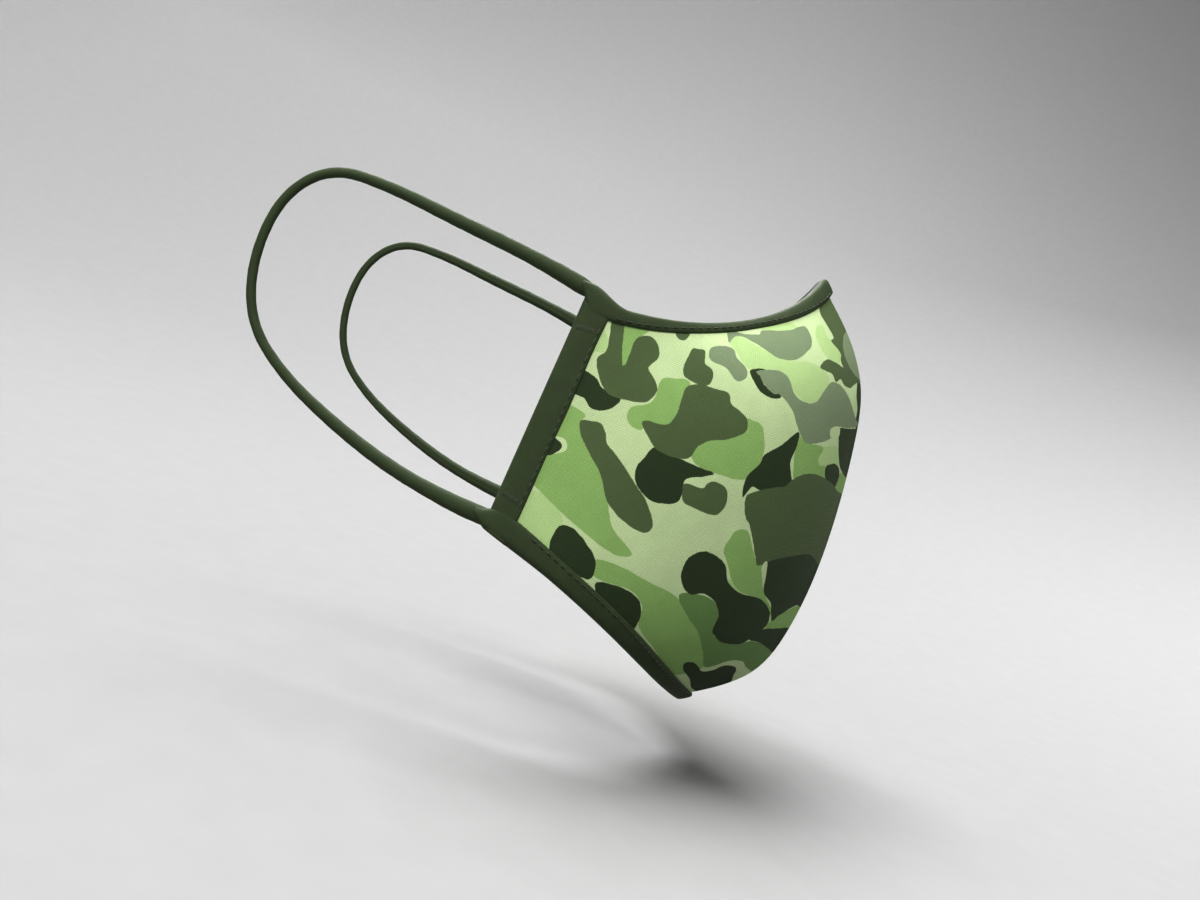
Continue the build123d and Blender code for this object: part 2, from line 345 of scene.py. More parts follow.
class Shader:
    """A Principled material in the making, with short names for the nodes it needs."""

    def __init__(self, name, roughness, sheen=0.0, sheen_tint=(1, 1, 1), specular=0.3):
        self.material = bpy.data.materials.new(name)
        self.material.use_nodes = True
        self.tree = self.material.node_tree
        self.main = self.tree.nodes["Principled BSDF"]
        self.main.inputs["Roughness"].default_value = roughness
        self.main.inputs["Specular IOR Level"].default_value = specular
        self.main.inputs["Sheen Weight"].default_value = sheen
        self.main.inputs["Sheen Roughness"].default_value = 0.45
        self.main.inputs["Sheen Tint"].default_value = (*sheen_tint, 1)

    def feed(self, socket, value):
        if isinstance(value, bpy.types.NodeSocket):
            self.tree.links.new(value, socket)
        elif value is not None:
            socket.default_value = value

    def dress(self, colour, roughness):
        self.feed(self.main.inputs["Base Color"], colour)
        self.feed(self.main.inputs["Roughness"], roughness)

    def math(self, operation, first, second=None, third=None):
        node = self.tree.nodes.new("ShaderNodeMath")
        node.operation = operation
        for socket, value in zip(node.inputs, (first, second, third)):
            self.feed(socket, value)
        return node.outputs[0]

    def split(self, vector):
        node = self.tree.nodes.new("ShaderNodeSeparateXYZ")
        self.feed(node.inputs[0], vector)
        return node.outputs

    def place(self):
        """The place on the cloth in millimetres, as a vector and as its two numbers."""
        node = self.tree.nodes.new("ShaderNodeUVMap")
        node.uv_map = "cloth"
        parts = self.split(node.outputs[0])
        return node.outputs[0], parts[0], parts[1]

    def object_place(self):
        return self.tree.nodes.new("ShaderNodeTexCoord").outputs["Object"]

    def value(self, name):
        node = self.tree.nodes.new("ShaderNodeAttribute")
        node.attribute_name = name
        return node.outputs["Fac"]

    def noise(self, vector, scale, detail=3.0, roughness=0.55):
        node = self.tree.nodes.new("ShaderNodeTexNoise")
        self.feed(node.inputs["Vector"], vector)
        node.inputs["Scale"].default_value = scale
        node.inputs["Detail"].default_value = detail
        node.inputs["Roughness"].default_value = roughness
        return node.outputs[0]

    def ramp(self, value, low, high, start=0.0, end=1.0):
        node = self.tree.nodes.new("ShaderNodeMapRange")
        for socket, number in zip(node.inputs, (value, low, high, start, end)):
            self.feed(socket, number)
        return node.outputs[0]

    def mix(self, factor, first, second):
        node = self.tree.nodes.new("ShaderNodeMix")
        node.data_type = "RGBA"
        self.feed(node.inputs[0], factor)
        for socket, value in zip(node.inputs[6:8], (first, second)):
            self.feed(socket, (*value, 1) if isinstance(value, tuple) else value)
        return node.outputs[2]

    def shade(self, colour, factor):
        """The colour times a number."""
        node = self.tree.nodes.new("ShaderNodeVectorMath")
        node.operation = "SCALE"
        self.feed(node.inputs[0], colour)
        self.feed(node.inputs[3], factor)
        return node.outputs[0]

    def bump(self, height, distance, strength):
        node = self.tree.nodes.new("ShaderNodeBump")
        self.feed(node.inputs["Height"], height)
        node.inputs["Distance"].default_value = distance
        node.inputs["Strength"].default_value = strength
        self.feed(self.main.inputs["Normal"], node.outputs[0])

    def sine(self, value, period):
        """Rises and falls between 0 and 1 once in each period."""
        turned = self.math("MULTIPLY", value, 2 * math.pi / period)
        return self.math("MULTIPLY_ADD", self.math("SINE", turned), 0.5, 0.5)

    def knit(self, across, up, wale, course):
        """The height of a jersey knit: columns of small chevrons."""
        column = self.math("ABSOLUTE", self.math("SINE", self.math("MULTIPLY", across, math.pi / wale)))
        slanted = self.math("MULTIPLY_ADD", column, -0.45 * course, up)
        rows = self.sine(slanted, course)
        return self.math("MULTIPLY", self.math("POWER", column, 0.6), self.math("MULTIPLY_ADD", rows, 0.6, 0.4))

    def twill(self, along_it, across, pitch):
        """The height of a fine diagonal rib with its cross threads."""
        diagonal = self.sine(self.math("ADD", along_it, across), pitch)
        cross = self.sine(self.math("SUBTRACT", along_it, across), pitch * 0.8)
        return self.math("MULTIPLY_ADD", diagonal, 0.7, self.math("MULTIPLY", cross, 0.3))


def rgb(text):
    """A display colour as the linear numbers that a shader takes."""
    parts = [int(text[i : i + 2], 16) / 255 for i in (0, 2, 4)]
    return tuple(part / 12.92 if part <= 0.04045 else ((part + 0.055) / 1.055) ** 2.4 for part in parts)


def toned(colour, factor):
    return tuple(part * factor for part in colour)


# --- the print: outlines of (s, t) in millimetres, s from the side edge along the cloth, t up from its middle ---

NEAR = 4.0  # how far round a shape its distance is worked out
RAGGED = 0.35  # how far a shape's edge wanders
SOFT_EDGE = 0.12  # half the width over which two inks meet
TURNED = 4.0  # where t = 0 falls on the left panels, whose cloth is turned over
BASE_COLOUR = rgb("a5b48c")
LEAF, FERN, PINE = rgb("98ad7b"), rgb("7b975d"), rgb("607b4a")
DARK, OLIVE, MOSS = rgb("2c3823"), rgb("4b593b"), rgb("6f7c62")
PRINT = [
    ("print_leaf", LEAF, [
        [(13, 37), (20, 36), (25, 37), (28, 39), (27, 43), (13, 42)],
        [(8, 31), (10.2, 29.5), (11.9, 27), (11.8, 24.5), (10, 24), (8, 23.5)],
        [(50, 45.6), (52.2, 48.3), (55.6, 49.8), (63.9, 48), (75.6, 47.2), (82.8, 48.9), (86.7, 50.2),
         (94.4, 49.8), (98.6, 48.4), (98.9, 44.4), (94.4, 37.8), (86.7, 35.3), (80, 37), (76.7, 41.1),
         (70, 41.5), (60.6, 38), (56.7, 39.4), (53.9, 42.2)],
        [(65, 57), (72, 58.8), (80, 62), (84, 64.5), (80, 65.2), (72, 62), (66, 59)],
        [(93.9, 62.2), (95.6, 66.7), (98.3, 68.9), (101.1, 68.9), (102, 65), (107.8, 62.8), (110, 60),
         (108.6, 56), (103.3, 53.9), (96.7, 56.7)],
        [(101.7, 23), (108.9, 25), (114.4, 25.6), (121.1, 20.6), (117.8, 18.4), (108.9, 17.4), (104, 17),
         (101.5, 19)],
        [(7, -24), (13, -23), (20, -27), (22, -32), (20, -39), (12, -37), (7, -33)],
        [(82, -29.2), (87.8, -28.4), (93, -32.4), (86, -31.6)],
    ]),
    ("print_fern", FERN, [
        [(14.5, 37), (22, 37.5), (20.5, 33), (19.5, 23), (18, 23), (15, 30)],
        [(31.7, 23.3), (35.6, 25), (40.6, 25.8), (43, 18), (41, 9), (33.3, 8), (31.5, 6), (28, 6.4),
         (26.1, 8.6), (26.4, 12), (30.6, 14.4), (31.9, 17.8)],
        [(60, 21), (66.7, 22.2), (70, 21.1), (72.2, 17.8), (73.7, 13.3), (73.3, 8.9), (71.7, 5), (68.3, 2.8),
         (57.8, 1.9), (52.2, 2.4), (49.6, 4.8), (50, 9), (55, 15)],
        [(7, 5), (14, 4.5), (13.5, 2), (15, -1), (19, -5), (24, -9), (30, -16), (36, -25), (46, -31),
         (40, -33), (24, -28), (12, -23), (7, -20), (8, -12), (13, -8), (11, -4.6), (7, -4.4)],
        [(35, -37), (44, -36), (56, -38), (68, -40), (78, -46), (85, -50), (95, -58), (102, -64), (98, -72),
         (90, -72), (75, -62), (62, -54), (59, -47), (52, -42.5), (44, -42.5), (38, -41.5)],
        [(75.6, -12.8), (80, -11.7), (84.4, -15.6), (88.9, -19.4), (94.4, -21.1), (97.8, -25.6), (103.3, -30.6),
         (113.3, -35.6), (116.1, -38.3), (107.8, -35), (100, -32.2), (91, -32), (84.4, -29.1), (77.8, -23.3),
         (74.4, -20), (74.6, -16)],
        [(115, -42.2), (118.9, -37.2), (128.9, -32.8), (138, -32), (138, -42), (125.6, -42.4)],
        [(86.5, 23.4), (92, 22.6), (103.3, 23.3), (101.7, 19), (104.4, 17.2), (108.9, 17.6), (112, 13),
         (100, 12.5), (91.5, 9.5), (88.9, 13.3), (87.2, 17.8)],
        [(123.9, 17.8), (138, 18.4), (138, 6), (127.8, 8.4), (120.6, 11)],
    ]),
    ("print_pine", PINE, [
        [(68, -39), (75.6, -36.7), (84.4, -38.3), (88, -43), (91, -49), (97.8, -51), (105.6, -50.6),
         (115.6, -48.4), (138, -50), (138, -62), (125, -61), (118, -58), (110, -59), (103, -65), (94.4, -58),
         (84.4, -50), (76, -45.4)],
    ]),
    ("print_dark", DARK, [
        [(6, 16.7), (12.2, 16.4), (15.6, 14), (21.7, 13.4), (21.6, 10.6), (19.4, 8), (16.7, 7), (14.2, 7.2),
         (11.7, 9.1), (6, 10)],
        [(6, -5.6), (11.2, -6.6), (10.2, -10), (6, -12)],
        [(38, 3), (44.4, 2.4), (53.3, 1.9), (59.4, 1.9), (55.6, -0.6), (51, -3.2), (52, -7.8), (51.7, -10.6),
         (48.9, -12.4), (44.4, -13.3), (41.1, -12.4), (37.8, -10.6), (35.6, -7.8), (35, -4.4), (36, -1.5)],
        [(21, -30.5), (26, -30), (33, -34), (37, -38), (37, -43.5), (26, -41), (21, -38)],
        [(40, -43.4), (48.9, -42.6), (55.6, -44.4), (58.9, -47.8), (60.9, -52), (60.5, -57), (53, -54),
         (44, -49)],
        [(64, -26), (69, -22.4), (77.8, -24.4), (82.2, -29.4), (90, -32.2), (100, -32.2), (105.6, -33.3),
         (111.1, -35.6), (115, -39.4), (114.6, -43), (109.4, -49.4), (105.6, -51.1), (98, -51.6), (90, -48.3),
         (87.6, -42), (83, -38), (76.7, -36), (71, -37.6), (65, -33)],
        [(95.4, -20.4), (100, -16.4), (113.3, -13), (120, -12), (138, -13), (138, -31.4), (128.9, -32.2),
         (120, -36.7), (116.7, -39.4), (110, -33.3), (104.4, -31.1), (100.6, -28.3)],
        [(110.5, -48), (115, -43.3), (122.2, -42.2), (138, -41.8), (138, -53), (127.8, -50.6), (118, -48.6)],
        [(92.2, -65.6), (94.4, -63.9), (98.9, -65), (104, -67.7), (108.3, -65.6), (110, -62.2), (114.4, -61.1),
         (118.9, -62.2), (122, -66), (126, -72), (124, -82), (115, -82), (104, -74), (95.6, -69.4)],
        [(86.1, 24.6), (87.4, 20.6), (86.6, 14), (90.4, 8.6), (90, 3), (78, 2), (73.9, 2.2), (72.6, -1.9),
         (71.6, -1.3), (70.6, 4.4), (73.6, 10), (74.2, 13.3), (80, 18.3)],
        [(109.2, 17.8), (113.3, 19.4), (117.8, 20), (122.2, 18.5), (124, 16), (121.4, 10.6), (115.6, 13),
         (111, 14)],
        [(60, 37.8), (66.7, 40.2), (66, 35), (74.4, 33.6), (71, 31.4), (66, 31.8), (62.8, 33.9)],
        [(112, 32), (120, 33.5), (128.9, 35), (138, 36), (138, 18.3), (127.8, 18.1), (120, 21), (113.6, 28.7)],
        [(125.6, 54.4), (129.6, 53), (138, 47), (138, 34), (128, 36), (127, 42), (124, 47)],
    ]),
    ("print_olive", OLIVE, [
        [(9.2, 37), (13, 36.6), (15, 31.5), (16.7, 26.7), (19, 22.6), (19.2, 27.8), (18.9, 31.1), (20, 33.3),
         (22.8, 34.6), (25.6, 33.9), (27.9, 31), (28, 28.5), (26.4, 25), (29.1, 22.8), (31.6, 20), (31.4, 17),
         (29.1, 14.4), (24, 13.2), (18, 13), (13.9, 16.1), (10.4, 21.5), (11.9, 25), (11.3, 29)],
        [(30.3, 42), (35.2, 42), (35, 39.4), (33.3, 37.9), (31, 38.7)],
        [(37.8, 36.7), (39.4, 37.3), (42, 37.9), (42.8, 36), (43.6, 33.4), (46.1, 32.8), (47.5, 30.6),
         (47.2, 27.8), (45, 26.3), (41.1, 26.3), (38, 27.2), (37, 30), (37.2, 33.5)],
        [(40, 23.5), (43.3, 26.1), (48.9, 26.9), (54.4, 27.3), (56.1, 24.4), (60, 23.3), (63.3, 21.7),
         (64.5, 18.9), (63.3, 16.5), (59, 13.4), (53.9, 11.1), (50.6, 8), (49.2, 3.4), (44.4, 2), (38.9, 2.2),
         (34.5, 5), (31.2, 8.3), (33, 9.7), (36.7, 10), (39.1, 11.1), (40.3, 15), (40.1, 19)],
        [(58.2, -2.2), (59.6, -0.8), (62.2, -0.5), (65.6, -1.7), (67.2, -5), (67.1, -8.5), (65, -10.6),
         (60, -10.8), (53.4, -10), (51.6, -6.6), (51.4, -4.3), (57.4, -3.9)],
        [(13.4, 2.4), (16.1, 3.2), (19.4, 3.7), (21.9, 1.5), (23.9, -1.7), (28.9, -4.4), (36.7, -10),
         (42, -13.6), (47.6, -20), (46, -23.6), (38, -22), (31, -18), (25.6, -11), (17.8, -4.4), (14.4, -0.6)],
        [(73.4, -2.2), (74.8, 0.4), (82.2, 4.2), (87.8, 6.1), (90.6, 9), (94.4, 11.7), (100, 13.4),
         (106.7, 14), (117.8, 13.3), (126, 11.6), (138, 8), (138, -15), (127.8, -14.2), (120, -13),
         (113.3, -13.9), (100, -17.4), (92.2, -21.4), (88.9, -19.4), (80, -10), (76.7, -7.8)],
        [(103.4, 79), (111, 87), (122, 90), (138, 80), (134, 60), (131, 52), (119, 52.5), (112, 54),
         (109.4, 56.7), (110, 60), (104.2, 63.5), (106.9, 65.6), (104.4, 70), (102, 74.5)],
        [(93.6, 50), (97.8, 54), (103, 54.9), (117.8, 53.6), (130, 52), (124, 51.3), (120, 49.4),
         (116.7, 47.8), (111.1, 47.6), (108.3, 49.4), (104.4, 47), (102.2, 49.4), (97, 49.6)],
    ]),
    ("print_moss", MOSS, [
        [(43.9, 39.4), (47.8, 42.4), (52.4, 43), (54.4, 39.9), (57.8, 38.4), (59.3, 36.1), (58.3, 33.5),
         (55.6, 32.3), (50.6, 35.2), (45, 35.3)],
        [(62.4, 38.2), (68.9, 41.2), (73.3, 41.9), (76.9, 40.7), (80, 36.4), (84.4, 35), (89, 35.4),
         (92.8, 37.2), (98.3, 44), (102, 46.6), (108, 46.9), (115.6, 44.4), (124.4, 39.4), (131, 36.6),
         (120, 33.7), (109.6, 32.4), (105.3, 30), (107.2, 27.5), (94.4, 22.6), (88.9, 23.2), (83.9, 27.2),
         (80.6, 30.6), (73.9, 33.8), (71.1, 33), (66, 35), (64.4, 37)],
        [(50, 50.8), (55.6, 51.4), (63.3, 53.9), (65.6, 56.7), (77.8, 60.9), (86.7, 65.4), (89.6, 65.6),
         (90.8, 62), (90.4, 58.6), (88.3, 55.6), (80, 48.9), (71.1, 46.7), (63.3, 48.6), (56, 50),
         (52.4, 48.3), (50.4, 44.8)],
        [(113.2, 62.6), (115.6, 67.8), (120, 71.7), (128, 75), (136, 60), (131, 53), (123.3, 53.7),
         (117.8, 55.4), (114.4, 58.4)],
    ]),
    ("print_light", BASE_COLOUR, [
        [(94.4, -19.4), (96.2, -20.4), (100.6, -28.7), (97.4, -25.6), (93.9, -21.6)],
        [(106, 31), (112.6, 32.4), (113.4, 28.9), (107.8, 27.6), (105.5, 28.9)],
    ]),
]


def outline_distance(outline, s, t):
    """How far each place lies outside a smooth closed outline; below 0 inside it."""
    line = closed_curve(np.array(outline, float), 4)
    ahead = np.roll(line, -1, 0)
    nearest, inside = np.full(s.shape, NEAR), np.zeros(s.shape, bool)
    for (s0, t0), (s1, t1) in zip(line, ahead):
        ds, dt = s1 - s0, t1 - t0
        share = np.clip(((s - s0) * ds + (t - t0) * dt) / max(ds * ds + dt * dt, 1e-9), 0, 1)
        nearest = np.minimum(nearest, np.hypot(s - s0 - share * ds, t - t0 - share * dt))
        if t0 != t1:
            inside ^= ((t0 > t) != (t1 > t)) & (s < s0 + (t - t0) * ds / dt)
    return np.where(inside, -nearest, nearest)


def print_fields(s, t):
    """For each colour of the print, how far each place lies outside its nearest shape, in millimetres."""
    fields = {}
    for name, _, outlines in PRINT:
        field = np.full(s.shape, NEAR)
        for outline in outlines:
            low, high = np.min(outline, axis=0) - NEAR, np.max(outline, axis=0) + NEAR
            close = (s > low[0]) & (s < high[0]) & (t > low[1]) & (t < high[1])
            field[close] = np.minimum(field[close], outline_distance(outline, s[close], t[close]))
        fields[name] = field
    return fields


BLACK = (0.012, 0.013, 0.011)


def camo_material():
    shader = Shader("camo_cloth", roughness=0.7, sheen=0.04, sheen_tint=(0.85, 1, 0.7), specular=0.12)
    place, across, up = shader.place()
    ragged = shader.math("MULTIPLY_ADD", shader.noise(place, 0.3), 2 * RAGGED, -RAGGED)
    soft = shader.noise(place, 0.035, detail=2)
    colour = shader.shade(BASE_COLOUR, shader.ramp(soft, 0.3, 0.7, 0.94, 1.04))
    for name, ink, _ in PRINT:
        field = shader.math("ADD", shader.value(name), ragged)
        colour = shader.mix(shader.ramp(field, SOFT_EDGE, -SOFT_EDGE), colour, ink)
    knit = shader.knit(across, up, wale=0.8, course=0.7)
    fleck = shader.noise(place, 2.2, detail=4, roughness=0.7)
    worn = shader.noise(place, 0.12, detail=5, roughness=0.65)
    colour = shader.shade(colour, shader.math("MULTIPLY_ADD", knit, 0.10, 0.93))
    colour = shader.shade(colour, shader.ramp(fleck, 0.3, 0.7, 0.95, 1.05))
    colour = shader.shade(colour, shader.ramp(worn, 0.35, 0.7, 0.97, 1.04))
    shader.dress(colour, shader.ramp(worn, 0.3, 0.7, 0.62, 0.76))
    shader.bump(shader.math("MULTIPLY_ADD", fleck, 0.4, knit), distance=0.00012, strength=0.55)
    return shader.material


def tape_material(name, colour):
    shader = Shader(name, roughness=0.6, sheen=0.03, sheen_tint=(0.8, 0.9, 0.7), specular=0.13)
    place, lengthwise, across = shader.place()
    rib = shader.twill(lengthwise, across, pitch=0.7)
    worn = shader.noise(place, 0.15, detail=5, roughness=0.65)
    fleck = shader.noise(place, 2.0, detail=3)
    shaded = shader.mix(shader.ramp(worn, 0.4, 0.75), colour, toned(colour, 1.25))
    # Where the inner value is 1 the colour is painted black: painted shade on the band's face side and fold ridge,
    # not the tape's colour.
    shaded = shader.mix(shader.value("inner"), shaded, BLACK)
    shaded = shader.shade(shaded, shader.math("MULTIPLY_ADD", rib, 0.16, 0.9))
    shaded = shader.shade(shaded, shader.ramp(fleck, 0.3, 0.7, 0.94, 1.06))
    shader.dress(shaded, shader.ramp(worn, 0.3, 0.7, 0.56, 0.7))
    shader.bump(shader.math("MULTIPLY_ADD", fleck, 0.3, rib), distance=0.0001, strength=0.5)
    return shader.material


def lining_material():
    shader = Shader("black_lining", roughness=0.8, sheen=0.08, specular=0.2)
    place, across, up = shader.place()
    knit = shader.knit(across, up, wale=1.0, course=0.9)
    lint = shader.noise(place, 0.6, detail=5, roughness=0.7)
    colour = shader.mix(shader.ramp(lint, 0.45, 0.8), BLACK, (0.024, 0.025, 0.022))
    colour = shader.shade(colour, shader.math("MULTIPLY_ADD", knit, 0.5, 0.7))
    shader.dress(colour, shader.ramp(lint, 0.3, 0.7, 0.74, 0.88))
    shader.bump(knit, distance=0.00015, strength=0.6)
    return shader.material


def filter_material():
    shader = Shader("non_woven_filter", roughness=0.85, specular=0.2)
    place, _, _ = shader.place()
    dots = shader.tree.nodes.new("ShaderNodeTexVoronoi")
    shader.feed(dots.inputs["Vector"], place)
    dots.inputs["Scale"].default_value = 0.6
    dots.inputs["Randomness"].default_value = 0.15
    pressed = shader.ramp(dots.outputs["Distance"], 0.2, 0.35)
    fibres = shader.noise(place, 1.5, detail=6, roughness=0.8)
    colour = shader.mix(fibres, (0.62, 0.63, 0.62), (0.78, 0.79, 0.78))
    colour = shader.shade(colour, shader.math("MULTIPLY_ADD", pressed, 0.12, 0.88))
    shader.dress(colour, shader.ramp(fibres, 0.3, 0.7, 0.8, 0.92))
    shader.bump(shader.math("MULTIPLY_ADD", fibres, 0.5, pressed), distance=0.0001, strength=0.6)
    return shader.material


def thread_material(name, colour):
    shader = Shader(name, roughness=0.5, sheen=0.2, specular=0.4)
    place, lengthwise, across = shader.place()
    twist = shader.sine(shader.math("MULTIPLY_ADD", across, 0.9, lengthwise), period=0.35)
    fuzz = shader.noise(place, 3.0)
    shaded = shader.mix(fuzz, colour, toned(colour, 1.3))
    shaded = shader.shade(shaded, shader.math("MULTIPLY_ADD", twist, 0.3, 0.8))
    shader.dress(shaded, shader.ramp(fuzz, 0.3, 0.7, 0.45, 0.6))
    shader.bump(twist, distance=0.00005, strength=0.7)
    return shader.material


def elastic_material():
    shader = Shader("braided_elastic", roughness=0.6, specular=0.35)
    place, lengthwise, across = shader.place()
    braid = shader.twill(lengthwise, across, pitch=0.9)
    wear = shader.noise(place, 0.4)
    colour = shader.mix(wear, (0.66, 0.65, 0.61), (0.75, 0.74, 0.70))
    colour = shader.shade(colour, shader.math("MULTIPLY_ADD", braid, 0.4, 0.8))
    shader.dress(colour, shader.ramp(wear, 0.3, 0.7, 0.55, 0.68))
    shader.bump(braid, distance=0.0001, strength=0.7)
    return shader.material


TAPE_COLOUR = rgb("323c27")
CAMO = camo_material()
TAPE = tape_material("olive_tape", TAPE_COLOUR)
LOOP = tape_material("olive_loop_tape", toned(TAPE_COLOUR, 0.95))
SEAM_COVER = tape_material("black_seam_tape", (0.02, 0.021, 0.019))
LINING = lining_material()
FILTER = filter_material()
THREAD = thread_material("olive_thread", toned(TAPE_COLOUR, 0.7))
DARK_THREAD = thread_material("dark_thread", (0.03, 0.032, 0.028))
ELASTIC = elastic_material()


# --- shell ---

VALLEY = 0.55  # how deep the seam's valley is between two stitches


def folds_with_shell(obj):
    """Gives the piece a mesh of its own."""
    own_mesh(obj)


def relief(u, v):
    """How far the cloth lies below its plain form: slow waves that fade out by its edges."""
    slow = 0.16 * np.sin(9.0 * u + 5.0 * v + 0.6) * np.sin(7.5 * v - 3.0 * u + 1.1)
    slow += 0.07 * np.sin(23.0 * u - 11.0 * v) * np.sin(17.0 * v + 6.0 * u + 2.0)
    clear = step(0, 0.12, u) * step(0, 0.06, 1 - u) * step(0, 0.06, v) * step(0, 0.06, 1 - v)
    return slow * clear


def seam_valley(distance, v):
    """The dip by the seam, deeper where a stitch pulls the cloth down."""
    stitches = 62
    pull = 0.5 + 0.5 * np.sin(2 * math.pi * stitches * v)
    dip = (VALLEY + 0.12 * pull) * np.exp(-((distance / 1.3) ** 2))
    return dip - 0.22 * np.exp(-(((distance - 2.6) / 1.6) ** 2))


def cloth_grid(depth, columns, rows, textured):
    """A grid of points at a depth, trimmed on the plane X = 0, with its places on the cloth."""
    v = np.linspace(0, 1, rows)
    first = depth + textured * VALLEY
    seam_u = at_seam(lambda u: cloth_point(u, v, np.full(rows, first)), rows)
    share = np.linspace(0, 1, columns) ** 1.15  # closer together by the seam
    u = seam_u[:, None] + (1 - seam_u)[:, None] * share[None]
    v = np.broadcast_to(v[:, None], u.shape)
    flat = outer_face(u, v)
    distance = travelled(flat, axis=1)
    deep = depth + textured * (relief(u, v) + seam_valley(distance, v))
    points = cloth_point(u, v, deep)
    points[:, 0, 0] = 0
    s = distance[:, -1:] - distance
    heights = travelled(flat, axis=0)
    middle = np.array([np.interp(0.5, v[:, 0], column) for column in heights.T])
    return points, np.stack([s, heights - middle], axis=-1)


def cloth_sheet(name, depths, material, slot, node, columns, rows, textured=0.0, printed=False):
    """One layer of the shell in both halves, between two depths. Textured is the share of the relief it takes."""
    for side, which in SIDES:
        form = Form()
        (face, places), (back, _) = (cloth_grid(depth, columns, rows, textured) for depth in depths)
        top, bottom = form.add(face), form.add(back)
        form.skin(top, places)
        form.skin(bottom[::-1], places[::-1])
        for pick in (np.s_[0, :], np.s_[-1, :], np.s_[:, 0], np.s_[:, -1]):
            form.skin(np.stack([top[pick], bottom[pick]]), np.stack([places[pick], places[pick]]))
        values = None
        if printed:
            s, t = places[..., 0].ravel(), places[..., 1].ravel()
            if side > 0:
                t = TURNED - t
            values = {key: np.tile(field, 2) for key, field in print_fields(s, t).items()}
        obj = form.piece(f"{name}_{which}", material, slot, "shell", side, values)
        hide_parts(f"{node}_{which}")
        folds_with_shell(obj)


cloth_sheet("panel", (0.0, 0.9), CAMO, "camo_fabric", "outer_panel", 170, 220, textured=1.0, printed=True)
cloth_sheet("filter", (1.25, 2.2), FILTER, "filter_fabric", "filter_layer", 60, 80)
cloth_sheet("lining", (2.35, 3.0), LINING, "lining_fabric", "lining_panel", 100, 130, textured=0.5)

# --- bindings ---

BAND_FACE = -1.15  # depth of the top and bottom bindings' outer face
SIDE_BAND_FACE = -0.95  # depth of the side bindings' outer face
BAND_END = 1.035  # where the top and bottom bindings end, just behind the side edge


def band_profile(width, rise, face=BAND_FACE):
    """The folded tape's section as rings of (in from the edge, depth), around the cloth and closed across it."""
    half, span = CLOTH / 2, width + rise
    outside = [
        (width, 0.1),
        (width - 0.2, 0.55 * face),
        (width - 0.9, 0.95 * face),
        (width - 0.5 * span, 1.12 * face),
        (width - 0.78 * span, face),
        (width - 0.94 * span, 0.4 * face + 0.2),
    ]
    inside = [(a, CLOTH - d) for a, d in reversed(outside)]
    ring = outside + [(-rise, half)] + inside + [(width - 0.5, half)]
    return closed_curve([np.stack(np.broadcast_arrays(*pair, width)[:2], axis=-1) for pair in ring])


def edge_point(u, edge, inset, depth):
    """A point by the top (edge = 1) or bottom (edge = 0) edge: in from it, or past it where inset is below 0."""
    sign = 1 if edge else -1
    v = edge - sign * np.maximum(inset, 0) / length_of(along_v(u, edge + 0 * u))
    past = unit(along_v(u, v)) * (sign * np.maximum(-inset, 0))[..., None]
    return cloth_point(u, v, depth) + past


def edge_band(name, node, edge, width_at, rise_at, stations=170):
    """Folded tape along the whole top or bottom edge, from one side to the other."""
    share = np.linspace(0, BAND_END, stations)
    profile, rings = band_profile(width_at(share), rise_at(share)), []
    for ring in profile:
        inset, depth = ring[:, 0], ring[:, 1]
        start = at_seam(lambda u: edge_point(u, edge, inset[:1], depth[:1]), 1)
        line = edge_point(start + (BAND_END - start) * share / BAND_END, edge, inset, depth)
        line[0, 0] = 0
        rings.append(line)
    half = np.stack(rings, axis=1)
    form = Form()
    form.tube(np.concatenate([half[::-1], (half * (-1, 1, 1))[1:]]))
    # The side towards the face and the ridge of the fold are painted black, except at the band's two ends: painted
    # shade, not the tape's own colour. The last two points are the ends' centres.
    inner = step(0.0, 0.35 * CLOTH, np.stack([ring[:, 1] for ring in profile], axis=1))
    inner *= 1 - step(0.9, 0.97, share)[:, None]
    inner = np.concatenate([inner[::-1], inner[1:]]).ravel()
    obj = form.piece(name, TAPE, "binding_tape", "shell", values={"inner": [*inner, 0, 0]})
    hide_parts(node)
    folds_with_shell(obj)


def top_width(u):
    return 5.6 - 2.5 * step(0.0, 0.45, u) + 0.7 * step(0.6, 0.95, u) - 6.2 * step(0.965, BAND_END, u)


def top_rise(u):
    return 1.3 + 4.1 * step(0.86, 1.0, u) - 0.2 * step(1.0, BAND_END, u)


def bottom_width(u):
    return 5.6 + 0.5 * step(0.0, 0.5, u) + 0.9 * step(0.75, 1.0, u) - 4.3 * step(0.975, BAND_END, u)


def bottom_rise(u):
    return 1.3 + 0.5 * step(0.8, 0.98, u) - 2.0 * step(1.0, BAND_END, u)


edge_band("top_band", "top_binding", 1, top_width, top_rise)
edge_band("bottom_band", "bottom_binding", 0, bottom_width, bottom_rise)


def side_point(v, inset, depth):
    """A point by the side edge: in from it, or past it where inset is below 0."""
    per_mm = 1 / length_of(along_u(1 + 0 * v, v))
    u = 1 - np.maximum(inset, 0) * per_mm
    past = unit(along_u(1 + 0 * v, v)) * np.maximum(-inset, 0)[..., None]
    return cloth_point(u, v, depth) + past


def side_bands():
    v = np.linspace(-0.02, 1.03, 100)
    width = 8.5 + 0.12 * np.sin(14 * v) + 0 * v
    profile = band_profile(width, 1.0 + 0 * v, face=SIDE_BAND_FACE)
    half = np.stack([side_point(v, ring[:, 0], ring[:, 1]) for ring in profile], axis=1)
    for side, which in SIDES:
        form = Form()
        form.tube(half)
        obj = form.piece(f"side_band_{which}", TAPE, "binding_tape", f"{which}_side", side)
        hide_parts(f"side_binding_{which}")


side_bands()

# --- threads ---

THREAD_RADIUS = 0.17
STITCH_DEPTH = 1.06 * BAND_FACE
SIDE_STITCH_DEPTH = -1.02


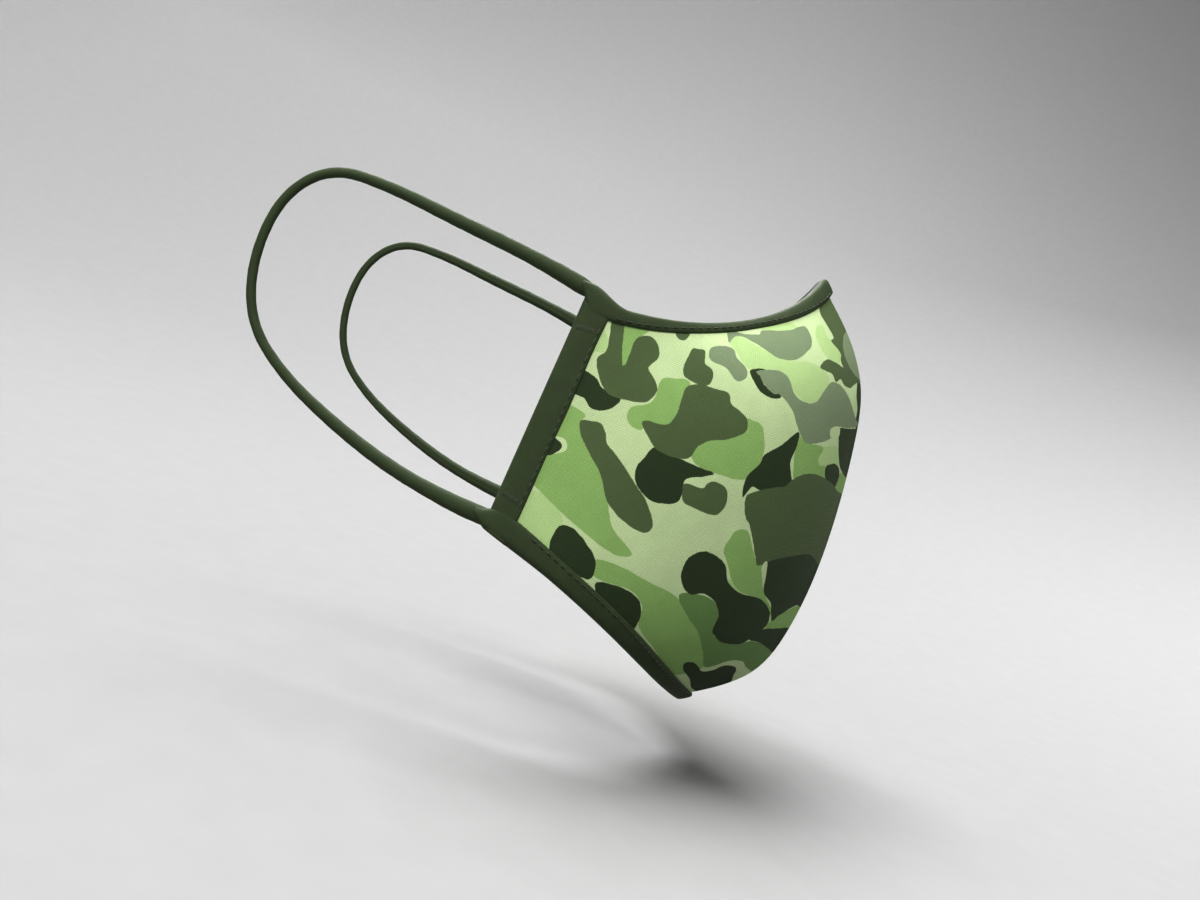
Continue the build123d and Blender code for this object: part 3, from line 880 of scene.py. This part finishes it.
def thread_ring(across, out):
    """The six corners round a thread of radius 1, from the directions across it and out of the cloth."""
    angle = np.linspace(0, 2 * math.pi, 6, endpoint=False)[:, None]
    return np.cos(angle) * across[..., None, :] + np.sin(angle) * out[..., None, :]


def stitch(form, start, end, out, start_at):
    """One stitch: a thread that dives into the cloth at both ends."""
    share = np.linspace(-1, 1, 7)
    centre, reach = (start + end) / 2, (end - start) / 2
    line = centre + share[:, None] * reach + out * (THREAD_RADIUS * (1.1 - 2.0 * share**4))[:, None]
    radius = THREAD_RADIUS * np.sqrt(np.clip(1.05 - share**4, 0.15, 1))
    form.tube(line[:, None] + radius[:, None, None] * thread_ring(unit(np.cross(reach, out)), out), start_at)


def stitch_row(form, line, out, pitch=3.0, gap=0.8):
    """Stitches along a line of points, each with the outward direction of the cloth there."""
    reach = travelled(line)
    count = int(reach[-1] // pitch)
    for k in range(count):
        low = (k + 0.5 * gap / pitch) * reach[-1] / count
        high = (k + 1 - 0.5 * gap / pitch) * reach[-1] / count
        ends = [np.array([np.interp(at, reach, line[:, i]) for i in range(3)]) for at in (low, high)]
        middle = unit(np.array([np.interp((low + high) / 2, reach, out[:, i]) for i in range(3)]))
        stitch(form, ends[0], ends[1], middle, low)


def edge_stitches(name, node, edge, width_at):
    """A row on each face of the top or bottom binding, just in from the tape's own edge."""
    u = np.linspace(0.012, 0.90, 240)
    form = Form()
    for depth, sign in ((STITCH_DEPTH, -1), (CLOTH - STITCH_DEPTH, 1)):
        line = edge_point(u, edge, width_at(u) - 1.1, depth + 0 * u)
        out = inward(u, edge + 0 * u) * sign
        for side in (1, -1):
            stitch_row(form, line * (side, 1, 1), out * (side, 1, 1))
    obj = form.piece(name, THREAD, "thread", "shell")
    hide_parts(node)
    folds_with_shell(obj)


edge_stitches("top_stitches", "top_binding_stitching", 1, top_width)
edge_stitches("bottom_stitches", "bottom_binding_stitching", 0, bottom_width)


def side_stitches():
    v = np.linspace(0.13, 0.9, 160)
    for side, which in SIDES:
        form = Form()
        for depth, sign in ((SIDE_STITCH_DEPTH, -1), (CLOTH - SIDE_STITCH_DEPTH, 1)):
            line = side_point(v, 7.3 + 0 * v, depth + 0 * v)
            stitch_row(form, line, inward(1 + 0 * v, v) * sign)
        obj = form.piece(f"side_stitches_{which}", THREAD, "thread", f"{which}_side", side)
        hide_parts(f"side_stitching_{which}")


side_stitches()


def bar_tacks():
    """Dense zigzags of thread across the side binding, where the ends of the ear loops are sewn in."""
    turns, half_height, start, length = 17, 0.8, 0.4, 5.6
    for name, middle in (("upper_bar_tack", 0.88), ("lower_bar_tack", 0.15)):
        share = np.linspace(0, turns, turns * 6 + 1)
        swing = np.abs((share % 2) - 1) * 2 - 1
        per_mm = 1 / length_of(along_v(np.array([1.0]), np.array([middle])))[0]
        v = middle + swing * half_height * per_mm
        inset = start + length * share / turns
        line = side_point(v, inset, -0.97 - 0.04 * (1 - swing**4))
        out = -inward(1 + 0 * v, v)
        tangent = unit(np.gradient(line, axis=0))
        ring = thread_ring(unit(np.cross(tangent, out)), out)
        for side, which in SIDES:
            form = Form()
            form.tube(line[:, None] + THREAD_RADIUS * 0.9 * ring)
            obj = form.piece(f"{name}_thread_{which}", THREAD, "thread", f"{which}_side", side)
            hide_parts(f"{name}_{which}")


bar_tacks()

# --- seam tape on the face side ---


def seam_tape_line(distance, depth, v):
    """Points beside the seam on the face side, at a depth, trimmed on the plane X = 0."""
    seam_u = at_seam(lambda u: cloth_point(u, v, np.full(v.shape, depth)), len(v))
    u = seam_u + distance / length_of(along_u(0 * v, v))
    points = cloth_point(u, v, np.full(v.shape, depth))
    if distance == 0:
        points[:, 0] = 0
    return points


def seam_tape():
    v = np.linspace(0.05, 0.95, 140)
    back_depth, face_depth, stitches_at, stitch_depth = 3.05, 3.45, 3.6, 3.62
    steps = [0.0, 0.8, 1.8, 3.0, 4.2, 4.9]
    swell = [0.0, 0.1, 0.16, 0.14, 0.05, -0.12]
    face = [seam_tape_line(d, face_depth + bulge, v) for d, bulge in zip(steps, swell)]
    back = [seam_tape_line(d, back_depth, v) for d in steps]
    half = face[::-1]
    ring = half + [p * (-1, 1, 1) for p in face[1:]] + [p * (-1, 1, 1) for p in back[:0:-1]] + back
    form = Form()
    form.tube(np.stack(ring, axis=1))
    obj = form.piece("seam_tape", SEAM_COVER, "binding_tape", "shell")
    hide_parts("centre_seam_tape")
    folds_with_shell(obj)
    form = Form()
    rows = seam_tape_line(stitches_at, stitch_depth, v)
    out = inward(0.03 + 0 * v, v)
    for side in (1, -1):
        stitch_row(form, rows * (side, 1, 1), out * (side, 1, 1))
    obj = form.piece("seam_stitching", DARK_THREAD, "thread", "shell")
    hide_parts("centre_seam_stitching")
    folds_with_shell(obj)


seam_tape()

# --- ear loops ---

CORE_TRIM = 7  # how many points of the path the elastic core leaves out at each end
CORE_RADIUS = 1.0


def loop_rings(path, high, thick, groove=0.0):
    """Oval rings around the path: high in the loop's plane and thick across it."""
    tangent = unit(np.gradient(path, axis=0))
    sideways = np.array([1.0, 0, 0]) + 0 * path
    rise = unit(np.cross(tangent, sideways))
    angle = np.linspace(0, 2 * math.pi, 28, endpoint=False)
    dent = 1 - groove * np.exp(-(((angle - math.pi) / 0.22) ** 2))
    up = np.sin(angle)[None, :, None] * high[:, None, None] * rise[:, None]
    out = (np.cos(angle) * dent)[None, :, None] * thick[:, None, None] * sideways[:, None]
    return path[:, None] + up + out


def ear_loops():
    path = evenly(smooth_route(LOOP_ROUTE), 240)
    share = np.linspace(0, 1, len(path))
    reach = travelled(path)
    bend = step(0.12, 0.42, share) * step(0.12, 0.42, 1 - share)
    ends = step(0.0, 0.03, share) * step(0.0, 0.03, 1 - share)
    flare = 0.45 * (1 - step(0.03, 0.12, share)) + 0.6 * (1 - step(0.03, 0.14, 1 - share))
    ripple = 0.03 * np.sin(reach * 0.9) + 0.02 * np.sin(reach * 2.3 + 1)
    high = 1.75 + (0.5 - 0.75 * bend + flare + ripple) * ends
    thick = 1.75 + (0.4 - 0.7 * bend + 0.4 * flare - ripple) * ends
    core_radius = np.full(len(path) - 2 * CORE_TRIM, CORE_RADIUS)
    for side, which in SIDES:
        cover, core = Form(), Form()
        cover.tube(loop_rings(path, high, thick, groove=0.16))
        core.tube(loop_rings(path[CORE_TRIM:-CORE_TRIM], core_radius, core_radius))
        obj = cover.piece(f"ear_loop_{which}", LOOP, "binding_tape", None, side)
        inner = core.piece(f"elastic_core_{which}", ELASTIC, "elastic", None, side)
        for piece in (obj, inner):
            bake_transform(piece)
        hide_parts(f"ear_loop_cover_{which}")
        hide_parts(f"ear_loop_elastic_{which}")


ear_loops()

# --- stage and light ---

# The keys light only the mask's pieces, so that the floor has no shadow but the suns' soft one below the mask.
flagged = bpy.data.collections.new("lit_by_the_keys")
for lit in list(scene.objects):
    if lit.type == "MESH":
        flagged.objects.link(lit)

# Places and sizes from here on are in metres.
FLOOR = -0.104
BACKDROP_PAINT = (0.47, 0.47, 0.47)
BOWL_FLAT, BOWL_CURVE, BOWL_WALL = 0.35, 3.2, 0.8  # the flat floor's radius, the curve's radius, the wall's height
SUN_STRENGTH, SUN_ANGLE = 2.0, 34
KEY_TARGET, KEY_SIZE = (0, -0.05, 0.01), 0.35
FILL_STRENGTH = 0.05


def stage_material():
    """Grey paint with painted light and painted shade: darker up the wall ahead of the mask and lighter up the wall
    behind it.
    """
    shader = Shader("pale_backdrop", roughness=0.9, specular=0.1)
    place = shader.object_place()
    grain = shader.noise(place, 60, detail=4)
    _, back, height = shader.split(place)
    sideways = shader.ramp(back, -1.5, 1.2, 0.50, 1.48)
    raised = shader.ramp(height, 0.0, 0.7)
    # Painted light and painted shade: the wall is lighter behind the mask and darker ahead of it, more so higher up.
    painted_light_and_shade = shader.math("MULTIPLY_ADD", raised, shader.math("SUBTRACT", sideways, 1.0), 1.0)
    paint = shader.shade(BACKDROP_PAINT, shader.ramp(grain, 0.3, 0.7, 0.985, 1.015))
    shader.feed(shader.main.inputs["Base Color"], shader.shade(paint, painted_light_and_shade))
    return shader.material


def backdrop():
    """A level floor that rises all round in one wide curve, like a bowl."""
    flat_rings, curve_rings, count = 12, 40, 96
    radii, heights = list(np.linspace(0.1, BOWL_FLAT, flat_rings)), [0.0] * flat_rings
    for angle in np.linspace(0, math.pi / 2, curve_rings)[1:]:
        radii.append(BOWL_FLAT + BOWL_CURVE * math.sin(angle))
        heights.append(BOWL_CURVE * (1 - math.cos(angle)))
    radii.append(BOWL_FLAT + BOWL_CURVE)
    heights.append(BOWL_CURVE + BOWL_WALL)
    turn = np.linspace(0, 2 * math.pi, count + 1)[:-1]
    points = [(0, 0, FLOOR)]
    for radius, height in zip(radii, heights):
        points += [(radius * math.cos(a), radius * math.sin(a), FLOOR + height) for a in turn]
    faces = [(0, 1 + i, 1 + (i + 1) % count) for i in range(count)]
    for ring in range(len(radii) - 1):
        low, high = 1 + ring * count, 1 + (ring + 1) * count
        faces += [(low + i, high + i, high + (i + 1) % count, low + (i + 1) % count) for i in range(count)]
    mesh = bpy.data.meshes.new("backdrop")
    mesh.from_pydata(points, [], faces)
    mesh.polygons.foreach_set("use_smooth", [True] * len(mesh.polygons))
    mesh.materials.append(stage_material())
    obj = bpy.data.objects.new("backdrop", mesh)
    scene.collection.objects.link(obj)


def add_light(data):
    light = bpy.data.objects.new(data.name, data)
    scene.collection.objects.link(light)
    return light


def key_light(name, place, watts):
    data = bpy.data.lights.new(name, "AREA")
    data.shape = "RECTANGLE"
    data.size = data.size_y = KEY_SIZE
    data.energy = watts
    light = add_light(data)
    aim = (Vector(KEY_TARGET) - Vector(place)).to_track_quat("-Z", "Y").to_matrix().to_4x4()
    light.matrix_world = Matrix.Translation(place) @ aim
    light.light_linking.receiver_collection = flagged


def sun_light(name, direction):
    data = bpy.data.lights.new(name, "SUN")
    data.energy, data.angle = SUN_STRENGTH, math.radians(SUN_ANGLE)
    add_light(data).matrix_world = Vector(direction).to_track_quat("Z", "Y").to_matrix().to_4x4()


backdrop()
for name, spread in (("top_near", -0.5), ("top", 0.0), ("top_far", 0.5)):
    sun_light(name, (0.8 * spread - 0.04, 0.42 - 0.62 * spread, 1.0))
key_light("key", (-0.66, 0.10, 0.72), 13.5)
key_light("far_key", (0.60, 0.15, 0.77), 13)

world = bpy.data.worlds.new("studio")
scene.world = world
world.use_nodes = True
world.node_tree.nodes["Background"].inputs["Color"].default_value = (1, 1, 1, 1)
world.node_tree.nodes["Background"].inputs["Strength"].default_value = FILL_STRENGTH
scene.view_settings.view_transform = "Standard"
scene.view_settings.gamma = 0.8
